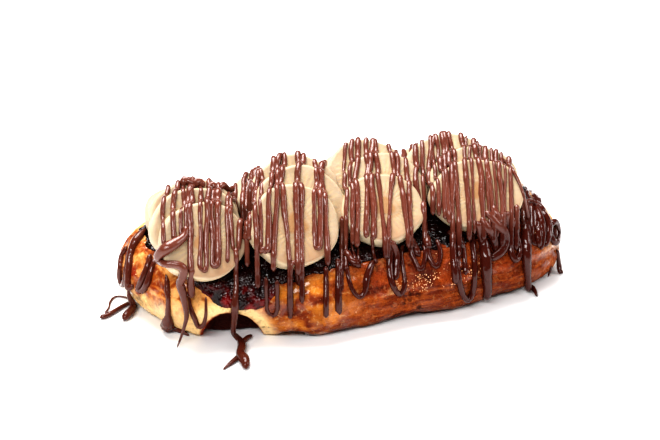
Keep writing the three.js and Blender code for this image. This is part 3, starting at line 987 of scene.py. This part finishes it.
def leg(rim, end, row, start_row=None):
    """The path of one leg, from its end at the front to the waffle's back or to its start row."""
    x_end = column_x(end, END_Y, END_Z) - SLANT * (END_Y - FRONT_Y)
    x_rim = column_x(rim, RIM_Y, RIM_Z) - SLANT * (RIM_Y - FRONT_Y)
    phase = random.uniform(0, 6.3)
    wave = random.uniform(0.2, 0.7)
    jerk = random.uniform(0, 90)

    def drift(y):
        share = min(1.0, max(0.0, (y - END_Y) / (RIM_Y - END_Y)))
        loose = min(1, max(0, (y - LOOSE_Y) / LOOSE_OVER))
        kink = noise.noise(Vector((jerk, 0, y * PACE))) * KINK
        return (x_rim - x_end) * share + (wave * math.sin(PACE * y + phase) + kink) * loose

    points = section(x_end, drift)
    if len(points) < 4:
        return []
    points = bridged(points)
    low = row_index(points, row)
    high = len(points)
    if start_row is not None:
        high = max(low + 3, row_index(points, start_row) + 2)
    return points[low:high]


def at_pixel(column, row):
    """The point of a section that shows at a pixel."""
    points = section(column_x(column, END_Y, END_Z) - SLANT * (END_Y - FRONT_Y))
    return points[row_index(points, row)] if points else None


# %% Streams with a thickness
drizzled, drawn = [], []
LIFT = 0.45
FLAT = 0.8
TAPER = 1.2


def resting(path, widths):
    """Lift what would sink into the table."""
    return [Vector((p.x, p.y, max(p.z, w * FLAT))) for p, w in zip(path, widths)]


def add_stream(points, thickness):
    """Keep a path with its thickness along the way: round ends and slow swellings."""
    if len(points) < 3:
        return
    path = lifted(relaxed(evenly(points)), LIFT * STREAM)
    phase = random.uniform(0, 50)
    widths = []
    for k in range(len(path)):
        slow = noise.noise(Vector((0, phase, k * 0.07)))
        quick = noise.noise(Vector((phase, 0, k * 0.35)))
        swell = 1 + 0.45 * slow + 0.16 * quick
        ends = min(k, len(path) - 1 - k) * STEP
        cap = math.sqrt(max(0.05, 1 - max(0.0, 1 - ends / TAPER) ** 2))
        widths.append(STREAM * thickness * swell * cap)
    drizzled.append((resting(path, widths), widths))


def back_end(points):
    """Cut a leg at random on the back of the waffle."""
    return points[: len(points) - random.randint(0, 14)]


# %% Lay the drizzle
for rim_left, left, right, rim_right, row, thickness, *start_row in TURNS:
    depth = abs(right - left) * TURN_DEPTH
    left_leg = leg(rim_left, left, row - depth, *start_row)
    right_leg = leg(rim_right, right, row - depth, *start_row)
    if not left_leg or not right_leg:
        continue
    if not start_row:
        left_leg, right_leg = back_end(left_leg), back_end(right_leg)
    bend = []
    for k in range(1, TURN_STEPS):
        angle = math.pi * k / TURN_STEPS
        column = (left + right) / 2 - math.cos(angle) * (right - left) / 2
        bend.append(at_pixel(column, row - depth + depth * math.sin(angle)))
    bend = [p for p in bend if p]
    add_stream(left_leg[::-1] + bend + right_leg, thickness)
for rim, end, row, thickness, *start_row in TIPS:
    points = leg(rim, end, row, *start_row)
    if not start_row:
        points = back_end(points)
    add_stream(points, thickness)
print("drizzle:", len(drizzled), "streams,", sum(len(path) for path, _ in drizzled), "points")

# %% [markdown]
# ## Chocolate: run-offs
#
# Where a lot of chocolate gathers it piles up in thick turns, runs over the edge of the crust, hangs down and
# ends in a small foot on the table. No rule gives these shapes, so they are drawn one by one, as a cook
# would:
# each is a row of pixels of the picture with a width at each. A ray through each pixel finds what the stream
# lies on, and past an overhanging edge the stream falls back only a little from point to point.

# %% Drawing along pixels
CURVE_STEPS = 12
HANG = 2.5
PRESS = 0.5


def rounded(points):
    """A smooth curve through a few points."""
    guide = [points[0] * 2 - points[1], *points, points[-1] * 2 - points[-2]]
    out = []
    for a, b, c, d in zip(guide, guide[1:], guide[2:], guide[3:]):
        for k in range(CURVE_STEPS):
            t = k / CURVE_STEPS
            square = (a * 2 - b * 5 + c * 4 - d) * t**2
            cube = (b * 3 - a - c * 3 + d) * t**3
            out.append(0.5 * (b * 2 + (c - a) * t + square + cube))
    return evenly(out + [points[-1]])


def add_drawn(points, widths):
    """A stream through a few points, each with a width of its own."""
    path = rounded(points)
    spots = np.linspace(0, len(widths) - 1, len(path))
    along = np.interp(spots, range(len(widths)), widths)
    sizes = []
    for k, width in enumerate(along):
        ends = min(k, len(path) - 1 - k) * STEP
        cap = math.sqrt(max(0.08, 1 - max(0.0, 1 - ends / max(0.4, width)) ** 2))
        sizes.append(float(width) * cap)
    drawn.append((resting(path, sizes), sizes))


def stroke(pixels):
    """A stream laid along pixels of the picture, each with a width."""
    points, widths = [], []
    reach = math.inf
    for column, row, width in pixels:
        aside = rightward * (column - PICTURE[0] / 2) - upward * (row - PICTURE[1] / 2)
        ray = aside / FOCUS - backward
        hit, normal, _, _ = ground.ray_cast(eye, ray.normalized())
        if not hit:
            hit, normal = eye + ray * (-eye.z / ray.z), Vector((0, 0, 1))
        reach = min((eye - hit).dot(backward), reach + HANG)
        points.append(eye + ray * reach + normal * PRESS * width)
        widths.append(width)
    add_drawn(points, widths)


# %% The streams drawn one by one
# Column, row and width in millimetres of each point.
STROKES = [
    # the left end: a narrow turn, the thick one that rises to a peak, and the slanting pair
    [(128, 247, 0.9), (123, 256, 1), (121.5, 266, 1), (121, 276, 1.1), (123.5, 284, 1.2), (126, 280, 1),
     (127, 270, 0.9), (129, 258, 0.9), (131, 250, 0.9)],
    [(134, 285, 0.9), (130, 287, 1.4), (129, 279, 1.3), (130, 269, 1.2), (131, 259, 1.2), (133, 250, 1.3),
     (137, 242, 1.6), (142, 235, 1.5), (146, 229, 0.5)],
    [(151, 255, 1), (149, 265, 1.1), (146, 274, 1.2), (143, 282, 1.3), (140, 288, 1.3), (144, 290, 1.2),
     (148, 284, 1.2), (151, 275, 1.1), (154, 265, 1), (155, 259, 0.8)],
    # its drip, the foot on the table and the arm with a thin loop
    [(129, 286, 0.6), (129, 296, 0.6), (132, 303, 1), (134, 309, 1.4), (131, 314, 1.5), (126, 319, 1.6),
     (123, 321, 1.2)],
    [(130, 304, 0.7), (122, 308, 0.75), (114, 313, 0.8), (107, 317, 0.9), (100, 319, 0.9)],
    [(129, 299, 0.35), (121, 297, 0.35), (114, 298, 0.4), (110, 303, 0.4), (109, 308, 0.35), (105, 314, 0.5)],
    # the thick curl: back over itself, off the slice, down the crust and out on the table
    [(186, 226, 1), (184, 236, 1.4), (176, 243, 2), (166, 249, 2.1), (161, 255, 1.7), (161, 260, 1.3),
     (167, 263, 1.3), (176, 265, 1.4), (183, 269, 1.5), (183, 276, 1.5), (181, 284, 1.5), (184, 294, 1.25),
     (186, 306, 1), (187, 316, 0.8), (185, 326, 0.6), (181, 338, 0.45), (177, 348, 0.25)],
    [(191, 268, 1.2), (191, 280, 1.2), (192, 290, 1.4), (192, 297, 1.3)],
    [(188, 292, 0.7), (190, 305, 0.8), (195, 317, 1), (199, 326, 0.9), (204, 323, 0.8), (206, 314, 0.6),
     (206, 305, 0.5), (206, 297, 0.4)],
    # the drip with a blob, and the foot beside it
    [(166, 274, 0.25), (168, 283, 0.9), (168, 289, 1.1), (169, 299, 0.85), (169, 311, 0.9), (169, 320, 1.1),
     (168, 326, 2.2), (168, 331, 2.7), (168, 334, 2)],
    [(168, 331, 1.6), (176, 331, 1), (184, 334, 0.8), (189, 336, 0.4)],
    # the middle drip and its branching foot
    [(235, 248, 0.9), (236, 258, 0.9), (236, 272, 0.9), (236, 286, 0.9), (235, 298, 1.1), (235, 307, 1.5),
     (234, 318, 1.2), (233, 328, 1), (234, 335, 0.9), (239, 341, 1.2), (242, 349, 1.6), (241, 357, 1.7),
     (245, 364, 1.9), (246, 370, 1.2)],
    [(241, 345, 0.9), (247, 339, 0.9), (252, 336, 0.6)],
    [(240, 357, 0.9), (234, 362, 0.8), (223, 370, 0.3)],
    # turns on the crust below the third column, from left to right
    [(342, 262, 0.9), (340, 274, 0.9), (339, 290, 0.9), (339, 304, 0.9), (339, 314, 0.8)],
    [(344, 252, 1), (348, 257, 1.6), (352, 262, 1.2), (356, 265, 1.6), (360, 268, 1)],
    [(351, 238, 0.9), (352, 246, 0.55), (354, 254, 0.5), (355, 262, 0.9)],
    [(357, 240, 0.9), (358, 248, 0.5), (358, 256, 0.45), (360, 264, 0.8)],
    [(372, 236, 0.9), (373, 246, 0.6), (374, 256, 0.6), (376, 264, 0.9)],
    [(345, 256, 0.8), (346, 266, 0.8), (348, 278, 0.8), (352, 290, 0.8), (359, 297, 0.8), (365, 290, 1),
     (366, 280, 1.3), (369, 270, 1.3), (373, 260, 1)],
    [(386, 238, 1.1), (389, 250, 1.3), (389, 264, 1.3), (390, 278, 1.2), (394, 289, 1.1), (400, 293, 1),
     (404, 285, 0.9), (403, 270, 0.8), (401, 255, 0.8), (403, 245, 0.8)],
    [(391, 240, 1.1), (396, 254, 1.2), (396, 268, 1.2), (395, 280, 1.2)],
    [(408, 234, 1.1), (410, 248, 1), (414, 260, 1), (420, 270, 1), (424, 262, 0.9), (425, 252, 0.8),
     (423, 244, 0.6)],
    [(409, 236, 1.1), (413, 246, 1.5), (417, 254, 1.6), (419, 257, 1.1)],
    [(426, 238, 1.1), (427, 250, 1.2), (430, 260, 1), (436, 267, 1), (440, 258, 0.9), (439, 248, 0.9),
     (436, 240, 0.7)],
    [(426, 236, 1.2), (428, 243, 1.7), (430, 250, 1.2)],
    # the tangle below the last column
    [(449, 232, 1), (452, 242, 1.2), (453, 256, 1.3), (454, 270, 1.4), (455, 283, 1.3)],
    [(460, 236, 0.9), (463, 248, 0.9), (464, 262, 0.9), (465, 275, 0.9)],
    [(455, 256, 1), (457, 270, 1.1), (459, 283, 1.2), (462, 294, 1.1), (467, 299, 1.1), (472, 291, 1.1),
     (474, 274, 1), (473, 256, 1), (472, 242, 1.1), (474, 232, 1)],
    [(477, 222, 1.2), (480, 234, 1.6), (483, 244, 2), (484, 256, 2.2), (485, 270, 2.2), (486, 282, 2),
     (486, 292, 1.7), (485, 300, 1.4)],
    [(484, 212, 1), (490, 217, 1.4), (497, 224, 1.8), (502, 232, 2), (504, 242, 2), (500, 251, 2),
     (493, 257, 1.8), (488, 259, 1.2)],
    [(481, 218, 1.1), (486, 226, 1.6), (491, 235, 1.8), (494, 245, 1.7), (494, 252, 1.2)],
    [(492, 206, 1), (496, 214, 1.2), (500, 222, 1.2)],
    [(507, 212, 1.1), (507, 226, 1.3), (509, 240, 1.4), (511, 254, 1.3), (515, 260, 1.2), (519, 252, 1.1),
     (517, 238, 1.1), (514, 224, 1)],
    [(512, 216, 1.1), (513, 230, 1.3), (514, 244, 1.3)],
    [(518, 240, 0.7), (523, 240, 0.7), (526, 233, 0.8), (524, 224, 0.9)],
    [(525, 216, 1), (524, 230, 1.5), (524, 243, 2), (525, 256, 1.9), (526, 270, 1.7), (527, 282, 1.2),
     (528, 292, 1.4)],
    [(528, 290, 1.1), (532, 289, 0.9), (535, 293, 0.7), (537, 297, 0.4)],
    [(538, 228, 1.3), (537, 240, 1.5), (538, 248, 1.1)],
    [(523, 206, 0.8), (528, 203, 1.2), (534, 205, 1.2), (540, 208, 1.1), (544, 213, 0.9)],
    # the ring at the right end, the drip behind it and a last short one
    [(549, 226, 1.1), (553, 222, 1.2), (557, 226, 1.2), (558, 234, 1.2), (556, 241, 1.2), (552, 242, 1.3),
     (549, 235, 1.2), (549, 228, 1.1), (552, 223, 0.8)],
    [(551, 228, 1), (553, 233, 1.3), (553, 238, 1)],
    [(541, 212, 1.1), (545, 219, 1.4), (547, 228, 1.5), (546, 238, 1.4), (544, 247, 1)],
    [(536, 208, 1), (539, 218, 1.4), (541, 230, 1.5), (541, 242, 1.3), (540, 250, 0.9)],
    [(556, 250, 0.8), (558, 258, 0.85), (559, 266, 0.85), (560, 273, 1), (563, 274, 0.8)],
    [(551, 266, 0.4), (550, 271, 0.5), (548, 277, 0.3)],
    # down the right edge of the last column
    [(500, 159, 0.8), (508, 165, 0.7), (512, 170, 0.6), (520, 186, 0.6), (523, 196, 0.55), (526, 208, 0.6),
     (528, 220, 0.7)],
    # the thick heap on the ridge of the first column
    [(182, 186, 1.2), (185, 182, 1.6), (189, 182, 1.4), (194, 184, 1.6), (199, 182, 1.2), (204, 187, 1.3)],
    [(206, 188, 1), (212, 185, 1.3), (217, 190, 1), (223, 187, 1.4), (229, 191, 1), (235, 189, 1.3)],
]
for pixels in STROKES:
    stroke(pixels)
print("drawn streams:", len(drawn))

# %% [markdown]
# ## Chocolate: from paths to streams
#
# A path with a thickness at each point is all that a stream needs. The tree turns the paths into curves and
# sweeps a round section along them, scaled by the stored thickness. Up on the slices the chocolate is milky
# and dull; low on the crust it is thin over a dark ground and glossier, and its colour is painted darker
# there, also as painted shade, least at the brightly lit left end.

# %% Chocolate finish
CHOCOLATE = linear(122, 68, 52), linear(92, 44, 32)
# Low down on the crust: thin chocolate over the dark crust, darkened further as painted shade.
THIN_AND_SHADED_CHOCOLATE = linear(62, 16, 7)


def chocolate_paint(place):
    x, y, z = millimetres(place)
    # Painted shade, together with the thin chocolate over dark crust: darker low down, less so at the
    # brightly lit left end.
    low_down = z.between(33, 24)
    cloud = grain(place, 0.012, 2.0)
    to_the_right = x.between(-66, -10, 0.5, 0.9)
    fine = grain(place, 0.0013, 2.0)
    return {
        "Base Color": mixed(low_down * to_the_right, mixed(cloud, *CHOCOLATE), THIN_AND_SHADED_CHOCOLATE),
        "Roughness": 0.2 + cloud * 0.1 - low_down * 0.13,
        "Coat Weight": 0.45 - low_down * 0.4,
        "Normal": bumped(grain(place, 0.004, 2.0) + fine * 0.2, 0.0005),
    }


chocolate_finish = finish("milk_chocolate", chocolate_paint, IOR=1.42, Coat_Roughness=0.16)

# %% Sweep the streams
stream_sizes = {"Sides": 10}
tree, sizes = shape_tree("stream_sweep", stream_sizes, takes_geometry=True)
start = sizes["Sides"]
width = start.node("GeometryNodeInputNamedAttribute", {"data_type": "FLOAT"}, {"Name": "thickness"})
lines = start.node("GeometryNodeMeshToCurve", {}, {0: sizes["Geometry"]})
ring = start.node("GeometryNodeCurvePrimitiveCircle", {}, {"Resolution": start, "Radius": 1.0})
swept = start.node(
    "GeometryNodeCurveToMesh",
    {},
    {"Curve": lines, "Profile Curve": ring, "Scale": width, "Fill Caps": True},
)
close_tree(swept, chocolate_finish)


def sweep(name, chosen):
    """All the chosen streams as one piece."""
    vertices, edges, widths = [], [], []
    for path, thickness in chosen:
        first = len(vertices)
        vertices += [p * MM for p in path]
        edges += [(first + k, first + k + 1) for k in range(len(path) - 1)]
        widths += [MM * w for w in thickness]
    mesh = bpy.data.meshes.new(name)
    mesh.from_pydata(vertices, edges, [])
    stored = mesh.attributes.new("thickness", "FLOAT", "POINT")
    stored.data.foreach_set("value", widths)
    return grow(name, tree, stream_sizes, mesh)


drizzle = sweep("chocolate_drizzle", drizzled)
run_offs = sweep("chocolate_run_offs", drawn)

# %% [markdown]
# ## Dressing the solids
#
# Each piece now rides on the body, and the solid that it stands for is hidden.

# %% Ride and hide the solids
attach(crust, "root")
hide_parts("waffle")
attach(sugar, "root")
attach(jam, "root")
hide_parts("jam")
for label, piece in slices.items():
    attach(piece, "root")
    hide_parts(f"banana_{label}")
for piece in (drizzle, run_offs):
    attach(piece, "root")
    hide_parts("waffle")

# %% [markdown]
# ## Floor and light
#
# The table is plain white. A wide lamp above and behind gives the main light and the shadow in front, a long
# low one at the front left the highlights along the streams, and a weak one at the right opens the shade.

# %% Stage
TABLE = (0.93, 0.93, 0.93, 1), (0.9, 0.9, 0.9, 1)


def floor_paint(place):
    tone = grain(place, 0.2, 2.0)
    return {"Base Color": mixed(tone, *TABLE), "Roughness": 0.6 + tone * 0.1}


floor_finish = finish("white_table", floor_paint)
FLOOR = 4000
FLOOR_Z = -0.3
corners = [(x * FLOOR, y * FLOOR, FLOOR_Z) for x, y in ((-1, -1), (1, -1), (1, 1), (-1, 1))]
floor = mesh_piece("floor", corners, [(0, 1, 2, 3)], floor_finish)

world = bpy.data.worlds.new("studio")
bpy.context.scene.world = world
world.use_nodes = True
sky = world.node_tree.nodes["Background"].inputs
sky["Color"].default_value = (1, 1, 1, 1)
sky["Strength"].default_value = 0.13
AIM = Vector((0, 0, 0.02))


def lamp(name, place, size, power):
    """A soft light, wide and high as given, that shines at the waffle."""
    light = bpy.data.lights.new(name, "AREA")
    light.shape = "RECTANGLE"
    light.size, light.size_y = size
    light.energy = power
    holder = link(bpy.data.objects.new(name, light))
    holder.location = place
    holder.rotation_euler = (AIM - Vector(place)).to_track_quat("-Z", "Y").to_euler()


lamp("window", (0.0, 0.38, 0.88), (0.7, 0.7), 15.5)
lamp("fill", (-0.5, -0.55, 0.75), (0.8, 0.22), 7)
lamp("side", (0.75, -0.4, 0.5), (0.4, 0.4), 2.5)
bpy.context.scene.view_settings.view_transform = "Standard"
bpy.context.scene.view_settings.look = "High Contrast"

# %% [markdown]
# ## Last lines
#
